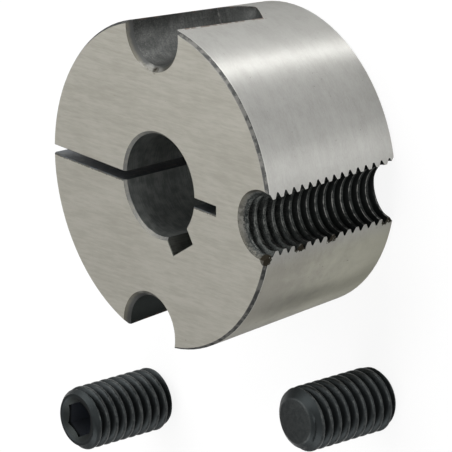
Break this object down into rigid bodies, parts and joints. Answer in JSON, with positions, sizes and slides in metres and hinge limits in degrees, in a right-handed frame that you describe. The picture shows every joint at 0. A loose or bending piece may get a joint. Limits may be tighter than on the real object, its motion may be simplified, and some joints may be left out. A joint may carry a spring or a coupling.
{
  "type": "taper bush",
  "caption": "Split tapered steel bush with a keyed bore, plain screw seats and a tapped jacking half-hole, with its black hexagon socket set screws standing beside it.",
  "frame": {"origin": "on the bore axis, in the plane of the small end that the bush stands on", "axes": "+Z along the bore axis from the small end to the large end, +X towards the tapped jacking half-hole"},
  "size_m": [0.0584, 0.0748, 0.0254],
  "materials": {
    "ground_steel": "ground bright on the cone and faces, dark as sawn, drilled and tapped inside the cuts",
    "black_oxide_steel": "satin black oxide"
  },
  "bodies": {
    "root": {"bush": "ground_steel", "set_screw_1": "black_oxide_steel", "set_screw_2": "black_oxide_steel"}
  },
  "joints": []
}
